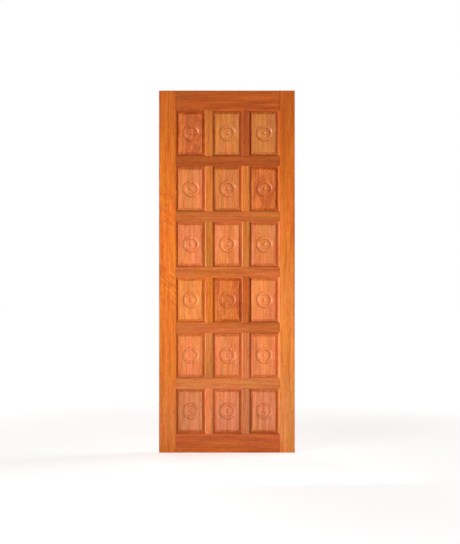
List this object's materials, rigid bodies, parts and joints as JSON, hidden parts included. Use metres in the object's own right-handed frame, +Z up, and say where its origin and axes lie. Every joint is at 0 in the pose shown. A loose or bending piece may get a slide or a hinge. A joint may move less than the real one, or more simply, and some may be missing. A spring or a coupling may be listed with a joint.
{
  "type": "exterior door leaf",
  "caption": "Solid hardwood stile and rail door leaf with raised and fielded panels, each with a turned roundel on its front field.",
  "frame": {"origin": "middle of the leaf's bottom edge, at half its width and half its thickness", "axes": "+Z up the leaf, +X to the right as seen from the front, -Y out of the front face with the roundels"},
  "size_m": [0.762, 0.044, 2.032],
  "materials": {
    "stile_wood": "varnished reddish-orange hardwood, semi-gloss, grain upright",
    "rail_wood": "varnished reddish-orange hardwood, semi-gloss, grain level",
    "muntin_wood": "varnished reddish-orange hardwood, semi-gloss, grain upright",
    "panel_wood": "varnished pinkish-orange hardwood, semi-gloss, grain upright",
    "dowel_wood": "plain pale hardwood dowel, unfinished"
  },
  "bodies": {
    "root": {"left_stile": "stile_wood", "right_stile": "stile_wood", "top_rail": "rail_wood", "bottom_rail": "rail_wood", "cross_rail_1": "rail_wood", "cross_rail_2": "rail_wood", "cross_rail_3": "rail_wood", "cross_rail_4": "rail_wood", "cross_rail_5": "rail_wood", "muntin_1_left": "muntin_wood", "muntin_1_right": "muntin_wood", "panel_1_left": "panel_wood", "panel_1_centre": "panel_wood", "panel_1_right": "panel_wood", "muntin_2_left": "muntin_wood", "muntin_2_right": "muntin_wood", "panel_2_left": "panel_wood", "panel_2_centre": "panel_wood", "panel_2_right": "panel_wood", "muntin_3_left": "muntin_wood", "muntin_3_right": "muntin_wood", "panel_3_left": "panel_wood", "panel_3_centre": "panel_wood", "panel_3_right": "panel_wood", "muntin_4_left": "muntin_wood", "muntin_4_right": "muntin_wood", "panel_4_left": "panel_wood", "panel_4_centre": "panel_wood", "panel_4_right": "panel_wood", "muntin_5_left": "muntin_wood", "muntin_5_right": "muntin_wood", "panel_5_left": "panel_wood", "panel_5_centre": "panel_wood", "panel_5_right": "panel_wood", "muntin_6_left": "muntin_wood", "muntin_6_right": "muntin_wood", "panel_6_left": "panel_wood", "panel_6_centre": "panel_wood", "panel_6_right": "panel_wood", "rail_dowels": "dowel_wood", "muntin_dowels": "dowel_wood"}
  },
  "joints": []
}
